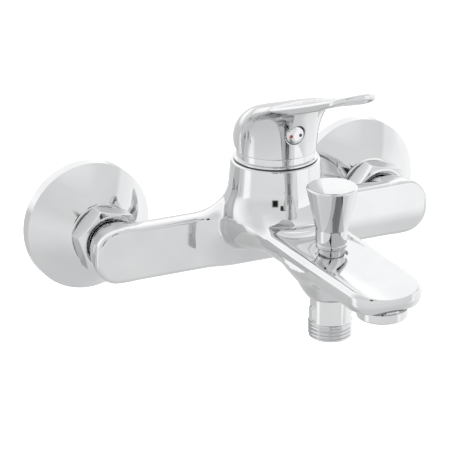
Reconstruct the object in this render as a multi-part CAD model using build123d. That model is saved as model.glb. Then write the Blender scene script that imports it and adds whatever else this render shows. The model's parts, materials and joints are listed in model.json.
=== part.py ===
from build123d import *
import math
import os

# Wall mounted bath and shower mixer with a single lever, in millimetres.
# Frame: wall plane at Y = 0, front towards -Y, +X to the right, +Z up.
# Origin: on the wall plane, midway between the two inlet axes.

# Driving dimensions: wall connection
INLET_SPACING = 150.0
INLET_X = INLET_SPACING / 2
TAIL_OFFSET = 7.5          # eccentricity of the wall tail above the inlet axis
TAIL_LENGTH = 20.0         # tail that stands behind the wall plane
G12_R = 10.4775            # crest radius of a G 1/2 thread
G12_PITCH = 1.814
G34_R = 13.2205            # crest radius of a G 3/4 thread
THREAD_DEPTH = 1.0
UNION_FRONT = 27.5         # depth of the union's sealing face in front of the wall
SHIELD_R = 32.5
SHIELD_RIM = 6.7
SHIELD_DEPTH = 21.3
NUT_ACROSS_FLATS = 30.0
NUT_CORNER_R = 16.7
NUT_BACK = 22.3
NUT_FRONT = 34.3

# Driving dimensions: casting
BAR_HALF_LENGTH = 91.0
BAR_BACK = 37.0
BAR_FRONT = 59.5
BAR_HALF_HEIGHT = 14.6
BAR_MID_Z = -0.4
BAR_END_R = 12.5
TOWER_Y = 61.4             # distance of the cartridge axis from the wall
TOWER_TOP = 41.6
TOWER_TOP_R = 21.7
TOWER_ROOT_R = 23.4
OUTLET_Y = 119.5           # distance of the diverter and hose outlet axis
AERATOR_Y = 169.3
SPOUT_TIP = 182.5
SPOUT_TOP = 15.0
BOSS_BOTTOM = -9.0
BOSS_R = 10.9
OUTLET_BOTTOM = -29.9

# Driving dimensions: cartridge and lever
SEAT_Z = 11.0
CARTRIDGE_R = 17.4
PIVOT_Z = 43.0
LIFT_DEG = 20.0
SPINDLE_ARM = 20.0         # pivot to the ball below it
BALL_REST_OFFSET = 3.4     # ball behind the axis when the valve is shut
BALL_R = 2.2
SPINDLE_SIDE = 7.6
DOME_R = 19.1              # spherical cover, centred on the pivot
HANDLE_R = 20.5
HANDLE_BOTTOM = 46.0
HANDLE_CROWN = 70.0
BLADE_TIP = 145.0
INDEX_Z = 59.3

# Driving dimensions: diverter
KNOB_TOP = 45.7
KNOB_TOP_R = 12.2
KNOB_BOTTOM = 15.3
STEM_R = 2.5
LIFT_STOP_Z = 2.0          # underside of the bonnet cage, upper seat of the plug
LOWER_SEAT_Z = -14.0
DIVERTER_LIFT = 8.0
PLUG_HEIGHT = LIFT_STOP_Z - LOWER_SEAT_Z - DIVERTER_LIFT

RUNNING = 0.05             # radial clearance of a running fit
LOOSE = 0.3                # clearance between faces that pass each other

SIDES = {"left": -1, "right": 1}


def tube(outer, inner, low, high, x=0.0, y=0.0):
    """Ring or disc between two heights; y is the distance in front of the wall."""
    ring = Cylinder(outer, high - low)
    if inner > 0:
        ring -= Cylinder(inner, high - low + 1)
    return Pos(x, -y, (low + high) / 2) * ring


def rod_out(outer, inner, back, front, x=0.0, z=0.0):
    """The same along the depth, from back to front, measured from the wall."""
    ring = Cylinder(outer, front - back)
    if inner > 0:
        ring -= Cylinder(inner, front - back + 1)
    return Pos(x, -(back + front) / 2, z) * Rot(90, 0, 0) * ring


def lathe(points, y):
    """Solid of revolution about a vertical axis; points are (radius, height)."""
    face = make_face(Plane.XZ * Polyline(*points, close=True))
    return Pos(0, -y, 0) * revolve(face, Axis.Z)


def lathe_out(points, x, z=0.0):
    """Solid of revolution about a horizontal axis; points are (radius, depth)."""
    outline = [(radius, -depth) for radius, depth in points]
    face = make_face(Polyline(*outline, close=True))
    return Pos(x, 0, z) * revolve(face, Axis.Y)


def thread_grooves(crest, low, high):
    """Rings whose removal leaves flat-crested thread ridges on a vertical shaft."""
    grooves = []
    count = int((high - low) / G12_PITCH)
    for turn in range(count):
        middle = low + (turn + 0.5) * G12_PITCH
        half = G12_PITCH * 0.36
        outline = [
            (crest + 1, middle - half - 0.4),
            (crest - THREAD_DEPTH, middle - 0.15),
            (crest - THREAD_DEPTH, middle + 0.15),
            (crest + 1, middle + half + 0.4),
        ]
        grooves.append(revolve(make_face(Plane.XZ * Polyline(*outline, close=True)), Axis.Z))
    return grooves


def eccentric_union(side):
    """S-shaped wall union: G 1/2 tail above the axis, G 3/4 end towards the valve."""
    x = side * INLET_X
    tail_face = Plane((x, 0, TAIL_OFFSET), z_dir=(0, 1, 0)) * Circle(G12_R)
    neck_face = Plane((x, -8, 0), z_dir=(0, 1, 0)) * Circle(G34_R)
    shape = loft([tail_face, neck_face])
    shape += rod_out(G12_R, 0, -TAIL_LENGTH, 0, x, TAIL_OFFSET)
    shape += rod_out(G34_R, 0, 8, UNION_FRONT, x)
    shape -= rod_out(6.5, 0, -TAIL_LENGTH - 1, 4, x, TAIL_OFFSET)
    shape -= rod_out(8.6, 0, 3, UNION_FRONT + 1, x)
    to_tail = Pos(x, 0, TAIL_OFFSET) * Rot(-90, 0, 0)
    for groove in thread_grooves(G12_R, 2.0, TAIL_LENGTH - 1.5):
        shape -= to_tail * groove
    return shape


def escutcheon(side):
    """Wall shield: short cylindrical rim, crowned face and a threaded neck."""
    x = side * INLET_X
    rim_inner = SHIELD_R - 1.4
    neck_outer = 15.6
    neck_inner = G34_R + RUNNING
    outer = [
        (SHIELD_R, 0),
        (SHIELD_R, SHIELD_RIM - 0.6),
        (SHIELD_R - 0.6, SHIELD_RIM),
        (27.6, 11.4),
        (22.4, 16.0),
        (18.0, 19.4),
        (neck_outer, SHIELD_DEPTH),
    ]
    inner = [
        (neck_inner, SHIELD_DEPTH),
        (neck_inner, 12.5),
        (neck_inner + 1.3, 12.5),
        (17.2, 17.6),
        (21.4, 14.6),
        (26.6, 10.0),
        (rim_inner, 5.6),
        (rim_inner, 0),
    ]
    return lathe_out(outer + inner, x)


def union_nut(side):
    """Captive hexagon nut that pulls the valve's inlet nipple onto the union."""
    x = side * INLET_X
    length = NUT_FRONT - NUT_BACK
    middle = (NUT_FRONT + NUT_BACK) / 2
    hexagon = extrude(RegularPolygon(NUT_ACROSS_FLATS / 2, 6, major_radius=False), length / 2, both=True)
    turned = chamfer(Cylinder(NUT_CORNER_R + 0.6, length).edges().filter_by(GeomType.CIRCLE), 1.6)
    shape = Pos(x, -middle, 0) * Rot(90, 0, 0) * Rot(0, 0, 13.35) * (hexagon & turned)
    shape -= rod_out(G34_R + RUNNING, 0, NUT_BACK - 1, 31.6, x)
    shape -= rod_out(10.3, 0, 31, NUT_FRONT + 1, x)
    return shape


def inlet_nipple(side):
    """Flanged nipple screwed into the casting; its flange holds the nut captive."""
    x = side * INLET_X
    flange = rod_out(12.9, 7.6, 29.6, 31.5, x)
    shank = rod_out(10.2, 7.6, 31.5, 47.0, x)
    return flange + shank


def inlet_gasket(side):
    return rod_out(12.8, 8.7, UNION_FRONT, 29.6, side * INLET_X)


def inlet_screen(side):
    """Perforated dirt screen held in the middle of the inlet gasket."""
    x = side * INLET_X
    screen = rod_out(8.6, 0, 28.1, 28.7, x)
    for ring, count in ((0.0, 1), (3.0, 6), (6.0, 12)):
        for step in range(count):
            turn = 2 * math.pi * step / count
            at_x = x + ring * math.cos(turn)
            at_z = ring * math.sin(turn)
            screen -= rod_out(1.0, 0, 27, 30, at_x, at_z)
    return screen


def bar_casting():
    """Horizontal bar with a rounded section and rounded ends."""
    height = 2 * BAR_HALF_HEIGHT
    outline = RectangleRounded(2 * BAR_HALF_LENGTH, height, BAR_END_R)
    depth = BAR_FRONT - BAR_BACK
    bar = extrude(Plane.XZ.offset(BAR_BACK) * outline, depth)
    bar = Pos(0, 0, BAR_MID_Z) * bar
    front_edges = bar.faces().sort_by(Axis.Y)[0].edges()
    back_edges = bar.faces().sort_by(Axis.Y)[-1].edges()
    bar = fillet(front_edges, 8.0)
    back_edges = bar.faces().sort_by(Axis.Y)[-1].edges()
    return fillet(back_edges, 7.5)


def tower_casting():
    """Cartridge tower that widens downwards into the bar."""
    outline = [
        (0, -12.0),
        (19.5, -12.0),
        (22.8, -6.0),
        (TOWER_ROOT_R, 2.0),
        (TOWER_ROOT_R, 26.0),
        (22.5, 33.0),
        (TOWER_TOP_R, TOWER_TOP - 0.8),
        (TOWER_TOP_R - 0.8, TOWER_TOP),
        (0, TOWER_TOP),
    ]
    tower = lathe(outline, TOWER_Y)
    for side in SIDES.values():
        flare = Plane.XZ.offset(TOWER_Y - 12) * make_face(Polyline(
            (side * 20.0, 10.0),
            (side * 20.0, 30.0),
            (side * 23.2, 28.0),
            (side * 25.4, 22.5),
            (side * 29.5, 18.0),
            (side * 36.0, 14.9),
            (side * 42.0, 13.0),
            (side * 42.0, 10.0),
            close=True,
        ))
        tower += extrude(flare, 14.0, both=True) & Pos(0, -BAR_BACK - 12, 20) * Box(90, 14, 60)
    return tower


def spout_casting():
    """Flat spout: its side view and its plan are cut from one block, then rounded."""
    side_view = make_face(Plane.YZ * Polyline(
        (-TOWER_Y, 13.0),
        (-160.0, SPOUT_TOP + 0.4),
        (-SPOUT_TIP, SPOUT_TOP - 0.4),
        (-SPOUT_TIP, 6.0),
        (-176.0, 3.6),
        (-150.0, 3.2),
        (-132.0, -1.0),
        (-118.0, -7.0),
        (-98.0, -10.0),
        (-80.0, -12.0),
        (-TOWER_Y, -12.0),
        close=True,
    ))
    plan = make_face(Polyline(
        (-22.0, -TOWER_Y),
        (-20.5, -90.0),
        (-18.6, -SPOUT_TIP),
        (18.6, -SPOUT_TIP),
        (20.5, -90.0),
        (22.0, -TOWER_Y),
        close=True,
    ))
    tip_corners = plan.vertices().sort_by(Axis.Y)[0:2]
    plan = fillet(tip_corners, 10.0)
    block = extrude(side_view, 30, both=True) & extrude(plan, 60, both=True)
    dish = Pos(0, -120, SPOUT_TOP + 36.4) * Rot(90, 0, 0) * Cylinder(40.0, 110)
    return block - dish


def outlet_boss():
    """Funnel under the spout that carries the hose outlet."""
    outline = [
        (0, BOSS_BOTTOM),
        (BOSS_R, BOSS_BOTTOM),
        (13.0, -7.3),
        (14.7, -4.5),
        (16.4, -0.7),
        (18.2, 3.5),
        (18.2, 8.0),
        (0, 8.0),
    ]
    return lathe(outline, OUTLET_Y)


def waterways(body):
    """Bores, galleries and the cartridge chamber, cut from the casting."""
    for side in SIDES.values():
        body -= rod_out(10.2 + RUNNING, 0, 30, 47.2, side * INLET_X)
        gallery = Cylinder(8.4, INLET_X - 4)
        body -= Pos(side * (INLET_X + 6) / 2, -48.0, -1.0) * Rot(0, 90, 0) * gallery
        body -= tube(3.2, 0, -2, SEAT_Z + 1, side * 8.0, TOWER_Y - 6.5)
        body -= Pos(side * 8.0, -51.5, -1.0) * Box(6.4, 8.0, 7.0)
    body -= tube(CARTRIDGE_R + RUNNING, 0, SEAT_Z, TOWER_TOP + 1, y=TOWER_Y)
    body -= tube(18.95, 0, 33.0, TOWER_TOP + 1, y=TOWER_Y)
    body -= tube(4.0, 0, 0, SEAT_Z + 1, y=TOWER_Y + 10)
    body -= rod_out(4.0, 0, TOWER_Y + 6, OUTLET_Y, 0, -2.0)
    for side in SIDES.values():
        body -= tube(1.6, 0, SEAT_Z - 2.6, SEAT_Z + 1, side * 12.0, TOWER_Y + 8)
    body -= tube(7.6, 0, -3.0, 20, y=OUTLET_Y)
    body -= tube(8.95, 0, BOSS_BOTTOM - 1, -3.0, y=OUTLET_Y)
    body -= Pos(0, -(OUTLET_Y + AERATOR_Y) / 2, 6.8) * Box(15.0, AERATOR_Y - OUTLET_Y, 4.0)
    body -= tube(9.6, 0, -5, 8.8, y=AERATOR_Y)
    return body


def valve_body():
    """One brass casting: bar, tower, spout, boss and aerator stub."""
    body = bar_casting() + tower_casting() + spout_casting() + outlet_boss()
    body += tube(10.9, 0, 0.6, 6.0, y=AERATOR_Y)
    return waterways(body)


def cartridge_housing():
    """Outer shell of the ceramic cartridge with its narrow neck."""
    outer = lathe([
        (15.7, 14.1), (CARTRIDGE_R, 14.1), (CARTRIDGE_R, 33.0), (13.8, 33.0), (13.8, 46.0),
        (11.8, 46.0), (11.8, 28.6), (15.7, 28.6),
    ], TOWER_Y)
    return outer


def cartridge_base():
    """Base plate with hot, cold and mixed ports and two locating pins."""
    base = tube(CARTRIDGE_R, 0, SEAT_Z + 0.2, 14.0, y=TOWER_Y)
    for port_x, port_y, port_r in port_positions():
        base -= tube(port_r, 0, SEAT_Z - 1, 15, port_x, port_y)
        base -= tube(port_r + 1.6, 0, SEAT_Z - 1, SEAT_Z + 1.3, port_x, port_y)
    for side in SIDES.values():
        base += tube(1.5, 0, SEAT_Z - 2.4, 12.0, side * 12.0, TOWER_Y + 8)
    return base


def port_positions():
    """Hot, cold and mixed water ports: x, distance from the wall, radius."""
    return (
        (-8.0, TOWER_Y - 6.5, 3.0),
        (8.0, TOWER_Y - 6.5, 3.0),
        (0.0, TOWER_Y + 10, 3.6),
    )


def port_seals():
    """Three rubber rings between the base plate and the casting."""
    rings = []
    for port_x, port_y, port_r in port_positions():
        rings.append(tube(port_r + 1.5, port_r + 0.1, SEAT_Z, SEAT_Z + 1.3, port_x, port_y))
    return Compound(children=rings)


def fixed_disc():
    """Ceramic disc with the three ports, held still on the base."""
    disc = tube(15.4, 0, 14.0, 17.0, y=TOWER_Y)
    for port_x, port_y, port_r in port_positions():
        disc -= tube(port_r, 0, 13, 18, port_x, port_y)
    for side in SIDES.values():
        disc -= tube(2.0, 0, 13, 18, side * 15.4, TOWER_Y)
    return disc


def moving_disc():
    """Ceramic disc with a mixing pocket underneath, shut by 3.4 mm to the back."""
    middle = TOWER_Y - BALL_REST_OFFSET
    disc = tube(11.9, 0, 17.05, 20.0, y=middle)
    pocket = Pos(0, -middle - 1.5, 17.0) * extrude(SlotOverall(13.0, 9.0), 1.6)
    return disc - pocket


def disc_carrier():
    """Plastic slider that grips the moving disc and takes the spindle's ball."""
    middle = TOWER_Y - BALL_REST_OFFSET
    carrier = tube(12.0, 0, 20.0, 25.0, y=middle)
    carrier -= tube(BALL_R + 0.25, 0, 19, 26, y=middle)
    return carrier


def swivel_carrier():
    """Plastic guide that turns in the housing and carries the pivot pin."""
    shape = tube(15.5, 0, 25.2, 28.5, y=TOWER_Y) + tube(11.7, 0, 28.5, 47.0, y=TOWER_Y)
    shape -= Pos(0, -TOWER_Y, 36) * Box(8.0, 17.0, 24)
    shape -= Pos(0, -TOWER_Y, PIVOT_Z) * Rot(0, 90, 0) * Cylinder(1.5, 40)
    return shape


def pivot_pin():
    return Pos(0, -TOWER_Y, PIVOT_Z) * Rot(0, 90, 0) * Cylinder(1.5, 22.4)


def spindle():
    """Square lever stem with a sloping lower arm that ends in a ball."""
    stem = Pos(0, -TOWER_Y, (PIVOT_Z - 4 + 64.0) / 2) * Box(SPINDLE_SIDE, SPINDLE_SIDE, 64.0 - PIVOT_Z + 4)
    ball_y = TOWER_Y - BALL_REST_OFFSET
    ball = Pos(0, -ball_y, PIVOT_Z - SPINDLE_ARM) * Sphere(BALL_R)
    slope = math.degrees(math.atan(BALL_REST_OFFSET / SPINDLE_ARM))
    arm = Pos(0, -TOWER_Y, PIVOT_Z) * Rot(slope, 0, 0) * Pos(0, 0, -SPINDLE_ARM / 2) * Cylinder(1.9, SPINDLE_ARM)
    stem += arm + ball
    stem -= Pos(0, -TOWER_Y, PIVOT_Z) * Rot(0, 90, 0) * Cylinder(1.5 + RUNNING, 40)
    return stem


def cartridge_nut():
    """Ring nut, screwed into the tower, that presses the cartridge down."""
    ring = tube(18.9, 13.9, 33.0, 41.5, y=TOWER_Y)
    collar = tube(17.0, 13.9, 41.5, 44.4, y=TOWER_Y)
    nut = ring + collar
    for step in range(4):
        slot = Pos(0, -TOWER_Y, 43.6) * Rot(0, 0, 45 + 90 * step) * Pos(15.5, 0, 0) * Box(4.4, 4.0, 3.0)
        nut -= slot
    return nut


def cover_seal():
    """Flat black ring between the tower's rim and the dome cover."""
    return tube(20.2, 19.0, TOWER_TOP, 42.0, y=TOWER_Y)


def dome_cover():
    """Trim ring with a spherical upper part that the lever slides over."""
    opening_r = 14.7
    bead = tube(HANDLE_R, 17.1, 42.0, 43.1, y=TOWER_Y)
    sphere = Pos(0, -TOWER_Y, PIVOT_Z) * (Sphere(DOME_R) - Sphere(DOME_R - 1.2))
    sphere &= tube(30, 0, 43.0, 60, y=TOWER_Y)
    sphere -= tube(opening_r, 0, 42, 70, y=TOWER_Y)
    return bead + sphere


def handle_cap():
    """Crowned cap of the lever: a super-elliptic dome on a short cylinder."""
    power = 2.5
    rise = HANDLE_CROWN - 47.0
    side = []
    for step in range(1, 13):
        height = rise * math.sin(math.pi / 2 * step / 12)
        radius = HANDLE_R * max(0.0, 1 - (height / rise) ** power) ** (1 / power)
        side.append((radius, 47.0 + height))
    with BuildPart() as cap:
        with BuildSketch(Plane.XZ):
            with BuildLine():
                crown = Spline((HANDLE_R, 47.0), *side, tangents=((0, 1), (-1, 0)))
                Polyline(crown @ 1, (0, HANDLE_BOTTOM), (HANDLE_R, HANDLE_BOTTOM), (HANDLE_R, 47.0))
            make_face()
        revolve(axis=Axis.Z)
    return Pos(0, -TOWER_Y, 0) * cap.part


def handle_blade():
    """Lever blade: rises forwards from the cap and thins towards a rounded tip."""
    side_view = make_face(Plane.YZ * Polyline(
        (-TOWER_Y, HANDLE_CROWN),
        (-99.5, 81.9),
        (-130.0, 93.0),
        (-BLADE_TIP, 98.8),
        (-BLADE_TIP, 95.6),
        (-130.0, 88.6),
        (-99.5, 77.2),
        (-84.0, 70.5),
        (-80.0, 64.0),
        (-78.0, 56.0),
        (-TOWER_Y, 56.0),
        close=True,
    ))
    plan = make_face(Polyline(
        (-5.0, -TOWER_Y), (-14.5, -72.0), (-18.2, -84.0), (-16.4, -100.0), (-13.2, -130.0),
        (-11.6, -BLADE_TIP), (11.6, -BLADE_TIP), (13.2, -130.0), (16.4, -100.0), (18.2, -84.0),
        (14.5, -72.0), (5.0, -TOWER_Y),
        close=True,
    ))
    tip_corners = plan.vertices().sort_by(Axis.Y)[0:2]
    plan = fillet(tip_corners, 9.5)
    return extrude(side_view, 30, both=True) & extrude(plan, 120)


def handle():
    """Lever: cap and blade, hollow over the dome, with a hub for the spindle."""
    shape = handle_cap() + handle_blade()
    cavity = Pos(0, -TOWER_Y, PIVOT_Z) * Sphere(DOME_R + LOOSE)
    cavity += tube(DOME_R + LOOSE, 0, 40, PIVOT_Z, y=TOWER_Y)
    shape -= cavity
    rear_plane = Pos(0, -TOWER_Y, PIVOT_Z) * Rot(LIFT_DEG, 0, 0) * Pos(0, 20, -9.7) * Box(60, 40, 20)
    shape -= rear_plane
    hub = tube(7.0, 0, 51.0, 66.0, y=TOWER_Y)
    rib = rod_out(3.3, 0, TOWER_Y, TOWER_Y + 15, 0, INDEX_Z)
    shape += hub + rib
    shape -= Pos(0, -TOWER_Y, 55.0) * Box(SPINDLE_SIDE + 0.1, SPINDLE_SIDE + 0.1, 18.4)
    shape -= rod_out(2.1, 0, TOWER_Y, TOWER_Y + 25, 0, INDEX_Z)
    shape -= rod_out(4.85, 0, TOWER_Y + 16.5, TOWER_Y + 30, 0, INDEX_Z)
    return shape


def handle_set_screw():
    """Headless screw that clamps the lever to the spindle, with a hexagon socket."""
    start = TOWER_Y + SPINDLE_SIDE / 2
    screw = rod_out(2.05, 0, start, start + 9.0, 0, INDEX_Z)
    socket = Pos(0, -start - 9.0, INDEX_Z) * Rot(90, 0, 0) * extrude(RegularPolygon(1.25, 6), -3.0)
    return screw - socket


def index_plug():
    """Round plug over the screw hole, with two small seats for the colour marks."""
    back = TOWER_Y + 17.0
    front = TOWER_Y + 21.6
    plug = rod_out(4.8, 0, back, front, 0, INDEX_Z)
    plug = fillet(plug.edges().filter_by(GeomType.CIRCLE).sort_by(Axis.Y)[0], 0.7)
    for side in SIDES.values():
        plug -= rod_out(1.05, 0, front - 0.6, front + 1, side * 2.3, INDEX_Z - 0.3)
    return plug


def colour_mark(side):
    front = TOWER_Y + 21.6
    return rod_out(1.0, 0, front - 0.6, front - 0.1, side * 2.3, INDEX_Z - 0.3)


def diverter_knob():
    """Conical pull knob with a waist and a bead at its foot."""
    knob = lathe([
        (0, KNOB_BOTTOM),
        (6.9, KNOB_BOTTOM),
        (7.4, KNOB_BOTTOM + 0.5),
        (7.4, 16.4),
        (6.7, 17.4),
        (6.7, 23.2),
        (7.0, 23.6),
        (KNOB_TOP_R - 0.1, KNOB_TOP - 0.6),
        (KNOB_TOP_R - 0.6, KNOB_TOP),
        (0, KNOB_TOP),
    ], OUTLET_Y)
    return knob - tube(STEM_R, 0, KNOB_BOTTOM - 1, 28.0, y=OUTLET_Y)


def diverter_stem():
    """Rod that joins the knob to the plug, with a shoulder under the plug."""
    rod = tube(STEM_R, 0, LOWER_SEAT_Z + 0.4, 28.0, y=OUTLET_Y)
    return rod


def diverter_bonnet():
    """Screwed guide with a windowed cage that ends in the upper seat."""
    shape = tube(7.5, STEM_R + RUNNING, 8.9, 11.0, y=OUTLET_Y)
    shape += tube(6.3, STEM_R + RUNNING, 11.0, 15.0, y=OUTLET_Y)
    shape += tube(7.5, 5.6, LIFT_STOP_Z, 8.9, y=OUTLET_Y)
    for step in range(4):
        window = Pos(0, -OUTLET_Y, 6.5) * Rot(0, 0, 90 * step) * Pos(6.5, 0, 0) * Box(5.0, 6.6, 4.4)
        shape -= window
    shape -= tube(4.2, 0, 12.0, 14.0, y=OUTLET_Y)
    return shape


def stem_o_ring():
    return tube(4.15, STEM_R + RUNNING, 12.1, 13.9, y=OUTLET_Y)


def diverter_plug():
    """Brass spool that carries the two sealing washers."""
    low = LOWER_SEAT_Z + 1.5
    high = LOWER_SEAT_Z + PLUG_HEIGHT - 1.5
    spool = tube(6.4, STEM_R, low, low + 1.2, y=OUTLET_Y)
    spool += tube(3.8, STEM_R, low, high, y=OUTLET_Y)
    return spool + tube(6.4, STEM_R, high - 1.2, high, y=OUTLET_Y)


def plug_washer(low):
    return tube(6.7, STEM_R, low, low + 1.5, y=OUTLET_Y)


def diverter_spring():
    """Compression spring between the bonnet and the upper washer."""
    low = LOWER_SEAT_Z + PLUG_HEIGHT
    high = 8.9
    wire = 0.35
    path = Helix(pitch=(high - low - 2 * wire) / 5.0, height=high - low - 2 * wire, radius=4.2)
    start = Plane(origin=path @ 0, z_dir=path % 0)
    coil = sweep(start * Circle(wire), path)
    return Pos(0, -OUTLET_Y, low + wire) * coil


def hose_outlet():
    """Threaded G 1/2 nipple whose bore step is the diverter's lower seat."""
    shape = tube(8.9, 7.2, BOSS_BOTTOM, -3.2, y=OUTLET_Y)
    shape += tube(10.0, 0, -21.6, BOSS_BOTTOM, y=OUTLET_Y)
    shape += tube(G12_R, 0, OUTLET_BOTTOM, -21.6, y=OUTLET_Y)
    for side in SIDES.values():
        shape += Pos(side * 9.6, -OUTLET_Y, -16.8) * Box(2.4, 4.4, 7.0)
    shape -= tube(7.2, 0, LOWER_SEAT_Z, 0, y=OUTLET_Y)
    shape -= tube(5.2, 0, OUTLET_BOTTOM - 1, LOWER_SEAT_Z + 1, y=OUTLET_Y)
    shape -= tube(6.6, 0, OUTLET_BOTTOM - 1, -18.0, y=OUTLET_Y)
    for groove in thread_grooves(G12_R, OUTLET_BOTTOM + 0.4, -21.6):
        shape -= Pos(0, -OUTLET_Y, 0) * groove
    return shape


def outlet_o_ring():
    """Seal in the clearance between the hose outlet's spigot and the boss."""
    return tube(8.9, 7.3, -3.2, -3.0, y=OUTLET_Y)


def aerator_housing():
    """Chromed cap nut of the aerator, screwed over the spout's stub."""
    cup = tube(11.9, 10.95, -0.4, 3.1, y=AERATOR_Y)
    lip = tube(11.9, 8.5, -1.6, -0.4, y=AERATOR_Y)
    return cup + lip


def aerator_gasket():
    return tube(10.8, 9.2, -0.4, 0.6, y=AERATOR_Y)


def aerator_insert():
    """Flow straightener: a cup with a honeycomb floor."""
    insert = tube(9.0, 7.8, -0.4, 4.0, y=AERATOR_Y) + tube(7.8, 0, -0.4, 1.0, y=AERATOR_Y)
    for ring, count in ((0.0, 1), (2.6, 6), (5.2, 12)):
        for step in range(count):
            turn = 2 * math.pi * step / count
            at_x = ring * math.cos(turn)
            at_y = AERATOR_Y + ring * math.sin(turn)
            insert -= tube(0.95, 0, -1, 2, at_x, at_y)
    return insert


def aerator_screen():
    """Fine screen on top of the straightener."""
    screen = tube(8.9, 0, 4.0, 4.4, y=AERATOR_Y)
    for ring, count in ((0.0, 1), (2.4, 6), (4.8, 12), (7.2, 18)):
        for step in range(count):
            turn = 2 * math.pi * step / count
            at_x = ring * math.cos(turn)
            at_y = AERATOR_Y + ring * math.sin(turn)
            screen -= tube(0.7, 0, 3, 5, at_x, at_y)
    return screen


def save(shape, name):
    export_step(shape, f"parts/{name}.step")


def main():
    os.makedirs("parts", exist_ok=True)
    for name, side in SIDES.items():
        save(eccentric_union(side), f"eccentric_union_{name}")
        save(escutcheon(side), f"escutcheon_{name}")
        save(union_nut(side), f"union_nut_{name}")
        save(inlet_nipple(side), f"inlet_nipple_{name}")
        save(inlet_gasket(side), f"inlet_gasket_{name}")
        save(inlet_screen(side), f"inlet_screen_{name}")
    save(valve_body(), "valve_body")
    save(cartridge_housing(), "cartridge_housing")
    save(cartridge_base(), "cartridge_base")
    save(port_seals(), "port_seals")
    save(fixed_disc(), "fixed_disc")
    save(moving_disc(), "moving_disc")
    save(disc_carrier(), "disc_carrier")
    save(swivel_carrier(), "swivel_carrier")
    save(pivot_pin(), "pivot_pin")
    save(spindle(), "spindle")
    save(cartridge_nut(), "cartridge_nut")
    save(cover_seal(), "cover_seal")
    save(dome_cover(), "dome_cover")
    save(handle(), "handle")
    save(handle_set_screw(), "handle_set_screw")
    save(index_plug(), "index_plug")
    save(colour_mark(SIDES["left"]), "hot_mark")
    save(colour_mark(SIDES["right"]), "cold_mark")
    save(diverter_knob(), "diverter_knob")
    save(diverter_stem(), "diverter_stem")
    save(diverter_bonnet(), "diverter_bonnet")
    save(stem_o_ring(), "stem_o_ring")
    save(diverter_plug(), "diverter_plug")
    save(plug_washer(LOWER_SEAT_Z), "lower_plug_washer")
    save(plug_washer(LOWER_SEAT_Z + PLUG_HEIGHT - 1.5), "upper_plug_washer")
    save(diverter_spring(), "diverter_spring")
    save(hose_outlet(), "hose_outlet")
    save(outlet_o_ring(), "outlet_o_ring")
    save(aerator_housing(), "aerator_housing")
    save(aerator_gasket(), "aerator_gasket")
    save(aerator_insert(), "aerator_insert")
    save(aerator_screen(), "aerator_screen")


main()
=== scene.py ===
import json
import math

import bpy
import numpy as np
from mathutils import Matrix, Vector

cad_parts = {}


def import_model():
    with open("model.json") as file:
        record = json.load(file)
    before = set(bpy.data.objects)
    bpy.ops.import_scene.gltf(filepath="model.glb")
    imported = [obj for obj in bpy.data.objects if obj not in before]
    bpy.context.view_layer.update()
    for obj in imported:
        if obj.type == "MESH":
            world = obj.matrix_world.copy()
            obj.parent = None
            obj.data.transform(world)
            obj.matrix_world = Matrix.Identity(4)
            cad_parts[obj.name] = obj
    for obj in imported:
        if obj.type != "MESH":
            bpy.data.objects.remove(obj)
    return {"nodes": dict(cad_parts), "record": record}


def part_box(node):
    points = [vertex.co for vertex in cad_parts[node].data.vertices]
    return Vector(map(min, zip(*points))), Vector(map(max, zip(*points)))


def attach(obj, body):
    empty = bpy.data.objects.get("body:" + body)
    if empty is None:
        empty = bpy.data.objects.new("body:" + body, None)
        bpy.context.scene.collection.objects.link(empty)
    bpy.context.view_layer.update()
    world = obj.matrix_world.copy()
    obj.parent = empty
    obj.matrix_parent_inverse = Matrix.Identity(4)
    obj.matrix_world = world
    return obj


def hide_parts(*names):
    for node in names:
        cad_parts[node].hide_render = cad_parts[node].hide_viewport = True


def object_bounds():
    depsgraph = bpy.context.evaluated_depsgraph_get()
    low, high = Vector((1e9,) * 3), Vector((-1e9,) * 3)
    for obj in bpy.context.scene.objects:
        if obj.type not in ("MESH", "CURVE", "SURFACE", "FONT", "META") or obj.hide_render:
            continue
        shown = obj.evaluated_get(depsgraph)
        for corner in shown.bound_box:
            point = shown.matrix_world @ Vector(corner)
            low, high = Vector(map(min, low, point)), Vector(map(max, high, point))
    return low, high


# Wall mounted bath mixer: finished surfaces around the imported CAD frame.
# Lengths in this script are millimetres, and MM turns them into the scene's metres.
# "depth" is the distance in front of the wall plane, so y = -depth.

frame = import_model()
CAD_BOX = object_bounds()
MM = 0.001


def node_box(node):
    """Lowest and highest corner of a CAD node, in millimetres."""
    low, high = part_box(node)
    return np.array(low) / MM, np.array(high) / MM


# ---------------------------------------------------------------- dimensions from the frame
BODY_LOW, BODY_HIGH = node_box("valve_body")
SHIELD_LOW, SHIELD_HIGH = node_box("escutcheon_right")
NUT_LOW, NUT_HIGH = node_box("union_nut_right")
COVER_LOW, COVER_HIGH = node_box("dome_cover")
LEVER_LOW, LEVER_HIGH = node_box("handle")
PLUG_LOW, PLUG_HIGH = node_box("index_plug")
KNOB_LOW, KNOB_HIGH = node_box("diverter_knob")
OUTLET_LOW, OUTLET_HIGH = node_box("hose_outlet")
AERATOR_LOW, AERATOR_HIGH = node_box("aerator_housing")
UNION_LOW, UNION_HIGH = node_box("eccentric_union_right")
PLUG_Z = (PLUG_LOW[2] + PLUG_HIGH[2]) / 2

INLET_X = (SHIELD_LOW[0] + SHIELD_HIGH[0]) / 2
TOWER_DEPTH = -(COVER_LOW[1] + COVER_HIGH[1]) / 2
OUTLET_DEPTH = -(KNOB_LOW[1] + KNOB_HIGH[1]) / 2
AERATOR_DEPTH = -(AERATOR_LOW[1] + AERATOR_HIGH[1]) / 2
BAR_HALF = BODY_HIGH[0]
BAR_BACK = -BODY_HIGH[1]
SPOUT_TIP = -BODY_LOW[1]
TOWER_TOP = BODY_HIGH[2]
PIVOT_Z = COVER_HIGH[2] - 12.2     # height of the point about which the lever tips

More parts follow.
